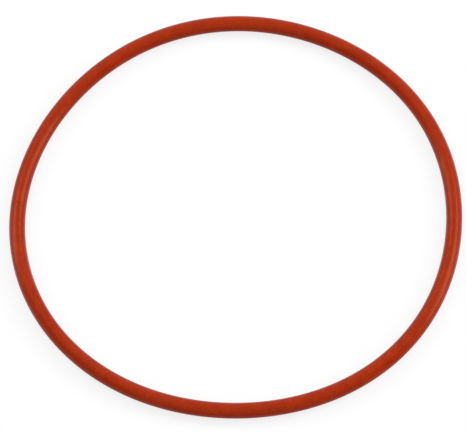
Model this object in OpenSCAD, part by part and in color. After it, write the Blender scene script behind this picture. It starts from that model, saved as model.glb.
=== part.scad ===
// Silicone o-ring: one moulded ring of round section, lying flat.
// It seals a lid or a housing joint: stretched over a neck, squeezed into a bore,
// or pressed between two faces.
// The mould closes on the ring's middle plane, so a fine bead of trimmed flash,
// the parting line, runs round its inside and its outside.
// Origin: centre of the ring, half way up its section. +Z is the ring's axis.

/* [Ring] */
// Inside diameter of the moulded round, parting line apart
inside_d = 94.84; // [60:0.01:180]
// Diameter of the round section
section_d = 3.53; // [2.4:0.01:7]

/* [Parting line] */
// How far the bead stands out from the round section
bead_h = 0.05; // [0.02:0.01:0.12]
// Width of the flat land that trimming leaves along the bead
land_w = 0.12; // [0.05:0.01:0.2]
// Width that each flank of the bead takes beside the land
flank_w = 0.09; // [0.04:0.01:0.2]

/* [Hidden] */

// Radius of the circle that the middle of the section follows
centre_r = (inside_d + section_d) / 2;
section_r = section_d / 2;
// Steps in the drawn section, and in one turn of the ring
section_steps = 96;
turn_steps = 360;
ring_colour = "#a5300f";

// Both beads in one outline, which crosses the section from its inside to its outside.
// The flanks start as deep below the round's surface as the land stands above it.
module parting_beads() {
    foot_x = section_r - bead_h;
    land_x = section_r + bead_h;
    land_y = land_w / 2;
    foot_y = land_y + flank_w;
    polygon([
        [-land_x, -land_y],
        [-foot_x, -foot_y],
        [foot_x, -foot_y],
        [land_x, -land_y],
        [land_x, land_y],
        [foot_x, foot_y],
        [-foot_x, foot_y],
        [-land_x, land_y]
    ]);
}

// The whole section: a round with a bead at its inner and its outer side
module ring_section() {
    circle(d = section_d, $fn = section_steps);
    parting_beads();
}

// The ring: its section turned once round the axis
module o_ring() {
    color(ring_colour)
        rotate_extrude($fn = turn_steps)
            translate([centre_r, 0])
                ring_section();
}

o_ring();
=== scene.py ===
import math

import bmesh
import bpy
from mathutils import Matrix, Quaternion, Vector


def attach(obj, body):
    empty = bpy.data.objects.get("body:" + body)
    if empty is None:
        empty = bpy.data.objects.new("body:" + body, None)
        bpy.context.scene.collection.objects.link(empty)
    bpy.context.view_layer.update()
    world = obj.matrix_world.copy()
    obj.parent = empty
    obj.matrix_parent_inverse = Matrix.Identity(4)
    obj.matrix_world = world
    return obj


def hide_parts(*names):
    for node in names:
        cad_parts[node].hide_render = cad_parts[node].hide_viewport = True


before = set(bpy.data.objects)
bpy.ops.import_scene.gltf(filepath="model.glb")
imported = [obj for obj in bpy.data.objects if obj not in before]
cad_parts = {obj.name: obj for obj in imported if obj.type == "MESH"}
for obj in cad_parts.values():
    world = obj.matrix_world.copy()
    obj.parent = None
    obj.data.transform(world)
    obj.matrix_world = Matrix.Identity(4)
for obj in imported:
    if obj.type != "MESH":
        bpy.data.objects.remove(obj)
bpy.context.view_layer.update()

# A moulded silicone o-ring, lying relaxed on a white table under soft studio light.
# Lengths are in metres, angles in degrees. The ring's axis is +Z, and its centre is the origin.

MM = 0.001

# Sizes of the ring, as it is moulded
INSIDE_D = 94.84 * MM
SECTION_D = 3.53 * MM
SECTION_R = SECTION_D / 2
CENTRE_R = (INSIDE_D + SECTION_D) / 2
BEAD_HEIGHT = 0.05 * MM

# The bead of trimmed flash: half the width of its flat land, and half its width where the flanks run out
LAND_HALF = 0.05 * MM
FOOT_HALF = 0.13 * MM
# The largest share of its height that trimming takes off the bead here and there
TRIM_WANDER = 0.35
# Waves of that wander across the ring's radius, and how many finer layers it has
TRIM_SCALE = 14.0
TRIM_LAYERS = 3.0

# How the soft ring relaxes out of round: lobes round the ring, their height, and where one stands
LOBES = [
    (3, 0.41 * MM, 79.7),
    (4, 0.17 * MM, 27.1),
    (5, 0.08 * MM, 26.0),
]

# Steps of the grid round the ring and round its section
TURN_STEPS = 900
SECTION_STEPS = 84
# 0 spaces the section's points evenly, and near 1 crowds them at the two beads
CROWDING = 0.72
# Points closer than this are one point, which closes the grid where its sides meet
WELD_DISTANCE = 0.001 * MM

# The photograph's frame and where the ring stands in it
IMAGE_W = 466
IMAGE_H = 433
RING_CENTRE_PX = (236.4, 215.2)
RING_RADIUS_PX = 218.9
# The camera looks down on the ring at this angle, and is turned clockwise by the roll
CAMERA_ELEVATION = 62.28
CAMERA_ROLL = 4.30
# Its distance from the ring, and the farthest that it shows
CAMERA_DISTANCE = 1.2
CAMERA_REACH = 20.0
# Width of its sensor in millimetres
SENSOR_W = 36.0

# Soft boxes, all at one distance: azimuth, elevation, width, height, roll and level.
# At level 1 a box lights a white surface that faces it up to about white.
LIGHT_DISTANCE = 0.9
SOFT_BOXES = {
    "left_box": (147, 35, 0.81, 0.09, -53, 0.237),
    "right_box": (10, 32.5, 0.91, 0.36, 41, 0.562),
    "back_box": (95, 40, 1.0, 0.6, 0, 0.171),
    "front_box": (-90, 30, 1.2, 0.8, 0, 0.19),
    "head_box": (-90, 88, 1.2, 1.2, 0, 0.35),
}
# The level of the room, and how much of the light the table throws back on the ring
ROOM_LEVEL = 0.22
TABLE_BOUNCE = 0.44
# The table as it is seen: a colour that keeps the shadow, and the glow that makes it white.
# The glow is stronger away from the ring, where less light of the soft boxes falls.
# Each pair is a distance from the centre and the glow there.
TABLE_SEEN = 0.24
GLOW_NEAR = (0.10, 0.78)
GLOW_FAR = (0.70, 0.95)
TABLE_RADIUS = 3.0
TABLE_EDGES = 96

# The silicone: its colour, how much it shines and in what tint, and its roughness from mark to mark
SILICONE_RED = (0.382, 0.0158, 0.0010)
SHINE_LEVEL = 0.5
SHINE_TINT = (0.93, 0.43, 0.17, 1.0)
SILICONE_IOR = 1.41
ROUGH_LOW = 0.23
ROUGH_HIGH = 0.31

# The skin's texture: waves a millimetre, number of finer layers, and how strong the finer ones are.
# Clouds are in the colour, and the grain and the turning marks come from the mould's cavity.
CLOUDS = (0.35, 4.0, 0.7)
GRAIN = (4.0, 3.0, 0.65)
MARKS = (4.5, 3.0, 0.6)
# The marks run round the ring: along it they have this share of their waves
MARKS_ALONG = 0.02
# The part of each noise, from 0 to 1, over which the colour or the roughness changes
CLOUDS_RANGE = (0.35, 0.65)
FINE_RANGE = (0.3, 0.7)
# How far the colour strays with the clouds and with the grain, as shares of it
CLOUDS_SHARE = 0.11
GRAIN_SHARE = 0.16
# The warmer red of the clouds gains this many such shares, in red, green and blue
WARMER = (0.6, 2.6, 3.0)
# Depth of the texture, its strength, and how much of it the grain and the marks make
TEXTURE_DEPTH = 0.012 * MM
TEXTURE_STRENGTH = 0.6
GRAIN_DEPTH = 0.6
MARKS_DEPTH = 0.8


def grey(level):
    """A colour without tint, which is white at level 1."""
    return (level, level, level, 1.0)


class Sums:
    """Adds math nodes to a node tree, and gives back the socket of each result."""

    def __init__(self, tree):
        self.tree = tree

    def node(self, name, **settings):
        made = self.tree.nodes.new(name)
        for key, value in settings.items():
            setattr(made, key, value)
        return made

    def feed(self, socket, value):
        if isinstance(value, bpy.types.NodeSocket):
            self.tree.links.new(value, socket)
        else:
            socket.default_value = value

    def math(self, operation, *values):
        made = self.node("ShaderNodeMath", operation=operation)
        for socket, value in zip(made.inputs, values):
            self.feed(socket, value)
        return made.outputs[0]

    def add(self, a, b):
        return self.math("ADD", a, b)

    def sub(self, a, b):
        return self.math("SUBTRACT", a, b)

    def mul(self, a, b):
        return self.math("MULTIPLY", a, b)

    def slide(self, value, near, far, start, end):
        """Slides smoothly from start to end while value goes from near to far."""
        made = self.node("ShaderNodeMapRange", interpolation_type="SMOOTHSTEP")
        for name, given in (
            ("Value", value),
            ("From Min", near),
            ("From Max", far),
            ("To Min", start),
            ("To Max", end),
        ):
            self.feed(made.inputs[name], given)
        return made.outputs["Result"]

    def vector(self, x, y, z):
        made = self.node("ShaderNodeCombineXYZ")
        for socket, value in zip(made.inputs, (x, y, z)):
            self.feed(socket, value)
        return made.outputs[0]

    def noise(self, vector, w, scale, layers, roughness=0.5):
        """Noise in four dimensions, from 0 to 1, so that it joins up both ways round the ring."""
        made = self.node("ShaderNodeTexNoise", noise_dimensions="4D")
        self.feed(made.inputs["Vector"], vector)
        self.feed(made.inputs["W"], w)
        self.feed(made.inputs["Scale"], scale)
        self.feed(made.inputs["Detail"], layers)
        self.feed(made.inputs["Roughness"], roughness)
        return made.outputs[0]


def ring_inputs():
    """The ring tree's named inputs, each with its kind of socket and its value."""
    rows = [
        ("Centre Radius", "NodeSocketFloat", CENTRE_R),
        ("Section Radius", "NodeSocketFloat", SECTION_R),
        ("Bead Height", "NodeSocketFloat", BEAD_HEIGHT),
        ("Bead Land Half", "NodeSocketFloat", LAND_HALF),
        ("Bead Foot Half", "NodeSocketFloat", FOOT_HALF),
        ("Trim Wander", "NodeSocketFloat", TRIM_WANDER),
        ("Trim Scale", "NodeSocketFloat", TRIM_SCALE),
        ("Section Crowding", "NodeSocketFloat", CROWDING),
        ("Turn Steps", "NodeSocketInt", TURN_STEPS),
        ("Section Steps", "NodeSocketInt", SECTION_STEPS),
    ]
    for count, height, place in LOBES:
        rows.append((f"Lobe {count} Height", "NodeSocketFloat", height))
        rows.append((f"Lobe {count} Place", "NodeSocketFloat", math.radians(place)))
    return rows


def ring_tree():
    """Builds the node tree that turns a flat grid into the closed ring.
    Along the grid's X runs the turn round the axis, and along its Y the turn round the section."""
    tree = bpy.data.node_groups.new("Moulded ring", "GeometryNodeTree")
    interface = tree.interface
    for name, kind, value in ring_inputs():
        interface.new_socket(name, in_out="INPUT", socket_type=kind).default_value = value
    interface.new_socket("Silicone", in_out="INPUT", socket_type="NodeSocketMaterial")
    interface.new_socket("Ring", in_out="OUTPUT", socket_type="NodeSocketGeometry")
    sums = Sums(tree)
    given = sums.node("NodeGroupInput").outputs
    out = sums.node("NodeGroupOutput")

    grid = sums.node("GeometryNodeMeshGrid")
    sums.feed(grid.inputs["Size X"], 1.0)
    sums.feed(grid.inputs["Size Y"], 1.0)
    for axis, steps in (("X", "Turn Steps"), ("Y", "Section Steps")):
        sums.feed(grid.inputs[f"Vertices {axis}"], sums.add(given[steps], 1.0))

    place = sums.node("ShaderNodeSeparateXYZ")
    sums.feed(place.inputs[0], sums.node("GeometryNodeInputPosition").outputs[0])
    turn = sums.mul(sums.add(place.outputs["X"], 0.5), math.tau)
    even = sums.mul(sums.add(place.outputs["Y"], 0.5), math.tau)
    # Twice in each turn round the section the points crowd together, at its outer and inner side
    swing = sums.mul(sums.math("SINE", sums.mul(even, 2.0)), 0.5)
    section = sums.sub(even, sums.mul(swing, given["Section Crowding"]))

    cos_turn = sums.math("COSINE", turn)
    sin_turn = sums.math("SINE", turn)
    cos_section = sums.math("COSINE", section)
    sin_section = sums.math("SINE", section)
    height = sums.mul(given["Section Radius"], sin_section)
    across = sums.mul(given["Section Radius"], cos_section)

    # The bead stands out on both sides of the section, and wanders a little as trimming leaves it
    bead = sums.slide(
        sums.math("ABSOLUTE", height),
        given["Bead Land Half"],
        given["Bead Foot Half"],
        given["Bead Height"],
        0.0,
    )
    side = sums.math("SIGN", cos_section)
    wander = sums.noise(sums.vector(cos_turn, sin_turn, side), 0.0, given["Trim Scale"], TRIM_LAYERS)
    share = sums.sub(1.0, sums.mul(wander, given["Trim Wander"]))
    bead = sums.mul(sums.mul(bead, share), side)

    radius = sums.add(given["Centre Radius"], sums.add(across, bead))
    for count, _, _ in LOBES:
        phase = sums.sub(turn, given[f"Lobe {count} Place"])
        wave = sums.math("COSINE", sums.mul(phase, float(count)))
        radius = sums.add(radius, sums.mul(wave, given[f"Lobe {count} Height"]))

    # Where each point lies round the ring and round its section, in millimetres, for the material.
    # It is stored while the grid is flat, because the turns are read from the grid's points.
    last = grid.outputs["Mesh"]
    mm = 1.0 / MM
    around_r = sums.mul(given["Centre Radius"], mm)
    across_r = sums.mul(given["Section Radius"], mm)
    attributes = {
        "around": sums.vector(sums.mul(around_r, cos_turn), sums.mul(around_r, sin_turn), 0.0),
        "across": sums.vector(sums.mul(across_r, cos_section), sums.mul(across_r, sin_section), 0.0),
    }
    for name, value in attributes.items():
        store = sums.node("GeometryNodeStoreNamedAttribute", data_type="FLOAT_VECTOR", domain="POINT")
        sums.feed(store.inputs["Geometry"], last)
        sums.feed(store.inputs["Name"], name)
        sums.feed(store.inputs["Value"], value)
        last = store.outputs[0]
    unrolled = sums.node("GeometryNodeStoreNamedAttribute", data_type="FLOAT2", domain="CORNER")
    sums.feed(unrolled.inputs["Geometry"], last)
    sums.feed(unrolled.inputs["Name"], "UVMap")
    sums.feed(unrolled.inputs["Value"], grid.outputs["UV Map"])

    shaped = sums.node("GeometryNodeSetPosition")
    sums.feed(shaped.inputs["Geometry"], unrolled.outputs[0])
    where = sums.vector(sums.mul(radius, cos_turn), sums.mul(radius, sin_turn), height)
    sums.feed(shaped.inputs["Position"], where)
    closed = sums.node("GeometryNodeMergeByDistance")
    sums.feed(closed.inputs["Geometry"], shaped.outputs[0])
    sums.feed(closed.inputs["Distance"], WELD_DISTANCE)
    smooth = sums.node("GeometryNodeSetShadeSmooth")
    sums.feed(smooth.inputs[0], closed.outputs[0])
    real = sums.node("GeometryNodeRealizeInstances")
    sums.feed(real.inputs[0], smooth.outputs[0])
    coated = sums.node("GeometryNodeSetMaterial")
    sums.feed(coated.inputs["Geometry"], real.outputs[0])
    sums.feed(coated.inputs["Material"], given["Silicone"])
    sums.feed(out.inputs[0], coated.outputs[0])
    return tree


def mould_ring(material):
    """The ring as a plain closed mesh, made by the node tree."""
    carrier = bpy.data.objects.new("ring_carrier", bpy.data.meshes.new("ring_carrier"))
    bpy.context.scene.collection.objects.link(carrier)
    modifier = carrier.modifiers.new("Moulded ring", "NODES")
    tree = ring_tree()
    modifier.node_group = tree
    values = {name: value for name, _, value in ring_inputs()}
    values["Silicone"] = material
    for item in tree.interface.items_tree:
        if item.in_out == "INPUT":
            modifier[item.identifier] = values[item.name]
    graph = bpy.context.evaluated_depsgraph_get()
    mesh = bpy.data.meshes.new_from_object(carrier.evaluated_get(graph))
    mesh.name = "silicone_ring"
    bpy.data.objects.remove(carrier)
    bm = bmesh.new()
    bm.from_mesh(mesh)
    if bm.calc_volume(signed=True) < 0:
        bmesh.ops.reverse_faces(bm, faces=bm.faces)
    bm.to_mesh(mesh)
    bm.free()
    ring = bpy.data.objects.new("silicone_ring", mesh)
    bpy.context.scene.collection.objects.link(ring)
    return ring


def silicone():
    """Red silicone as the mould leaves it: satin, a little cloudy, with faint marks along the ring."""
    material = bpy.data.materials.new("Red silicone")
    material.use_nodes = True
    tree = material.node_tree
    tree.nodes.clear()
    sums = Sums(tree)

    def stored(name):
        """The parts of a place that the ring's points carry."""
        split = sums.node("ShaderNodeSeparateXYZ")
        carried = sums.node("ShaderNodeAttribute", attribute_name=name)
        sums.feed(split.inputs[0], carried.outputs["Vector"])
        return split.outputs

    around = stored("around")
    across = stored("across")

    def on_ring(waves, layers, roughness, along=1.0):
        """Noise on the ring's surface, drawn out along the ring where along is small."""
        x = sums.mul(around["X"], along)
        y = sums.mul(around["Y"], along)
        return sums.noise(sums.vector(x, y, across["X"]), across["Y"], waves, layers, roughness)

    clouds = on_ring(*CLOUDS)
    grain = on_ring(*GRAIN)
    marks = on_ring(*MARKS, along=MARKS_ALONG)

    # Colour: a warmer and a deeper red by turns, and fine grains of pigment
    tint = sums.node("ShaderNodeMix", data_type="RGBA")
    sums.feed(tint.inputs["Factor"], sums.slide(clouds, *CLOUDS_RANGE, 0.0, 1.0))
    deep = [c * (1 - CLOUDS_SHARE) for c in SILICONE_RED]
    warm = [c * (1 + k * CLOUDS_SHARE) for c, k in zip(SILICONE_RED, WARMER)]
    tint.inputs["A"].default_value = deep + [1.0]
    tint.inputs["B"].default_value = warm + [1.0]
    speck = sums.node("ShaderNodeMix", data_type="RGBA", blend_type="MULTIPLY")
    speck.inputs["Factor"].default_value = 1.0
    sums.feed(speck.inputs["A"], tint.outputs["Result"])
    shade = sums.slide(grain, *FINE_RANGE, 1 - GRAIN_SHARE, 1 + GRAIN_SHARE)
    sums.feed(speck.inputs["B"], sums.vector(shade, shade, shade))

    # Surface: the cavity's fine grain, and turning marks that run round the ring
    depth = sums.add(sums.mul(grain, GRAIN_DEPTH), sums.mul(marks, MARKS_DEPTH))
    bump = sums.node("ShaderNodeBump")
    bump.inputs["Strength"].default_value = TEXTURE_STRENGTH
    bump.inputs["Distance"].default_value = TEXTURE_DEPTH
    sums.feed(bump.inputs["Height"], depth)

    skin = sums.node("ShaderNodeBsdfPrincipled")
    sums.feed(skin.inputs["Base Color"], speck.outputs["Result"])
    sums.feed(skin.inputs["Roughness"], sums.slide(marks, *FINE_RANGE, ROUGH_LOW, ROUGH_HIGH))
    skin.inputs["Specular IOR Level"].default_value = SHINE_LEVEL
    skin.inputs["Specular Tint"].default_value = SHINE_TINT
    skin.inputs["IOR"].default_value = SILICONE_IOR
    sums.feed(skin.inputs["Normal"], bump.outputs[0])
    out = sums.node("ShaderNodeOutputMaterial")
    sums.feed(out.inputs["Surface"], skin.outputs[0])
    return material


def seen_rays(sums):
    """1 for the rays that see the white background: from the camera, off gloss and through glass."""
    path = sums.node("ShaderNodeLightPath")
    seen = sums.math("MAXIMUM", path.outputs["Is Camera Ray"], path.outputs["Is Glossy Ray"])
    return sums.math("MAXIMUM", seen, path.outputs["Is Transmission Ray"])


def table_material():
    """White table top. The camera sees it lit up to white, and the ring gets a plain pale bounce from it."""
    material = bpy.data.materials.new("White table")
    material.use_nodes = True
    tree = material.node_tree
    tree.nodes.clear()
    sums = Sums(tree)
    seen = seen_rays(sums)
    plain = sums.node("ShaderNodeBsdfDiffuse")
    plain.inputs["Color"].default_value = grey(TABLE_BOUNCE)
    lit = sums.node("ShaderNodeBsdfDiffuse")
    lit.inputs["Color"].default_value = grey(TABLE_SEEN)
    glow = sums.node("ShaderNodeEmission")
    glow.inputs["Color"].default_value = grey(1.0)
    reach = sums.node("ShaderNodeVectorMath", operation="LENGTH")
    sums.feed(reach.inputs[0], sums.node("ShaderNodeTexCoord").outputs["Object"])
    (near, low), (far, high) = GLOW_NEAR, GLOW_FAR
    sums.feed(glow.inputs["Strength"], sums.slide(reach.outputs["Value"], near, far, low, high))
    white = sums.node("ShaderNodeAddShader")
    sums.feed(white.inputs[0], lit.outputs[0])
    sums.feed(white.inputs[1], glow.outputs[0])
    both = sums.node("ShaderNodeMixShader")
    sums.feed(both.inputs["Fac"], seen)
    sums.feed(both.inputs[1], plain.outputs[0])
    sums.feed(both.inputs[2], white.outputs[0])
    out = sums.node("ShaderNodeOutputMaterial")
    sums.feed(out.inputs["Surface"], both.outputs[0])
    return material


def lay_table():
    """A round white table top under the ring, wide enough to fill every view."""
    bm = bmesh.new()
    bmesh.ops.create_circle(bm, cap_ends=True, segments=TABLE_EDGES, radius=TABLE_RADIUS)
    bmesh.ops.translate(bm, verts=bm.verts, vec=(0, 0, -SECTION_R))
    mesh = bpy.data.meshes.new("table_top")
    bm.to_mesh(mesh)
    bm.free()
    mesh.materials.append(table_material())
    table = bpy.data.objects.new("table_top", mesh)
    bpy.context.scene.collection.objects.link(table)


def direction(azimuth, elevation):
    """Unit vector towards a place in the room: azimuth from +X towards +Y, elevation above the table."""
    a, e = math.radians(azimuth), math.radians(elevation)
    return Vector((math.cos(a) * math.cos(e), math.sin(a) * math.cos(e), math.sin(e)))


def soft_light(name, azimuth, elevation, width, height, roll, level):
    """A soft box that faces the ring, turned by its roll round the line to the ring."""
    data = bpy.data.lights.new(name, "AREA")
    data.shape = "RECTANGLE"
    data.size = width
    data.size_y = height
    data.energy = level * (math.pi * LIGHT_DISTANCE) ** 2
    light = bpy.data.objects.new(name, data)
    towards = direction(azimuth, elevation)
    light.rotation_mode = "QUATERNION"
    turned = Quaternion(towards, math.radians(roll))
    light.rotation_quaternion = turned @ towards.to_track_quat("Z", "Y")
    light.location = towards * LIGHT_DISTANCE
    light.visible_camera = False
    bpy.context.scene.collection.objects.link(light)


def light_room():
    """Soft boxes in a pale room. The room lights at its level, and is white where it is seen."""
    for name, box in SOFT_BOXES.items():
        soft_light(name, *box)
    world = bpy.data.worlds.new("Pale room")
    bpy.context.scene.world = world
    world.use_nodes = True
    tree = world.node_tree
    tree.nodes.clear()
    sums = Sums(tree)
    room = sums.node("ShaderNodeBackground")
    room.inputs["Color"].default_value = grey(1.0)
    level = sums.slide(seen_rays(sums), 0.0, 1.0, ROOM_LEVEL, 1.0)
    sums.feed(room.inputs["Strength"], level)
    out = sums.node("ShaderNodeOutputWorld")
    sums.feed(out.inputs["Surface"], room.outputs[0])


def place_camera():
    """A long lens that frames the ring as the photograph does."""
    data = bpy.data.cameras.new("camera")
    data.sensor_fit = "HORIZONTAL"
    data.sensor_width = SENSOR_W
    pixel = CENTRE_R / RING_RADIUS_PX
    data.lens = CAMERA_DISTANCE / pixel * SENSOR_W / IMAGE_W
    data.clip_end = CAMERA_REACH
    back = direction(-90, CAMERA_ELEVATION)
    turn = back.to_track_quat("Z", "Y").to_matrix() @ Matrix.Rotation(math.radians(-CAMERA_ROLL), 3, "Z")
    right, up = turn.col[0], turn.col[1]
    # How far the ring's centre stands to the right of the picture's centre and below it
    aside = (RING_CENTRE_PX[0] - IMAGE_W / 2) * pixel
    below = (RING_CENTRE_PX[1] - IMAGE_H / 2) * pixel
    camera = bpy.data.objects.new("camera", data)
    camera.rotation_mode = "QUATERNION"
    camera.rotation_quaternion = turn.to_quaternion()
    camera.location = back * CAMERA_DISTANCE - right * aside + up * below
    bpy.context.scene.collection.objects.link(camera)
    bpy.context.scene.camera = camera


bpy.context.scene.view_settings.view_transform = "Standard"
place_camera()
ring = mould_ring(silicone())
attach(ring, "root")
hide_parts("o_ring")
lay_table()
light_room()
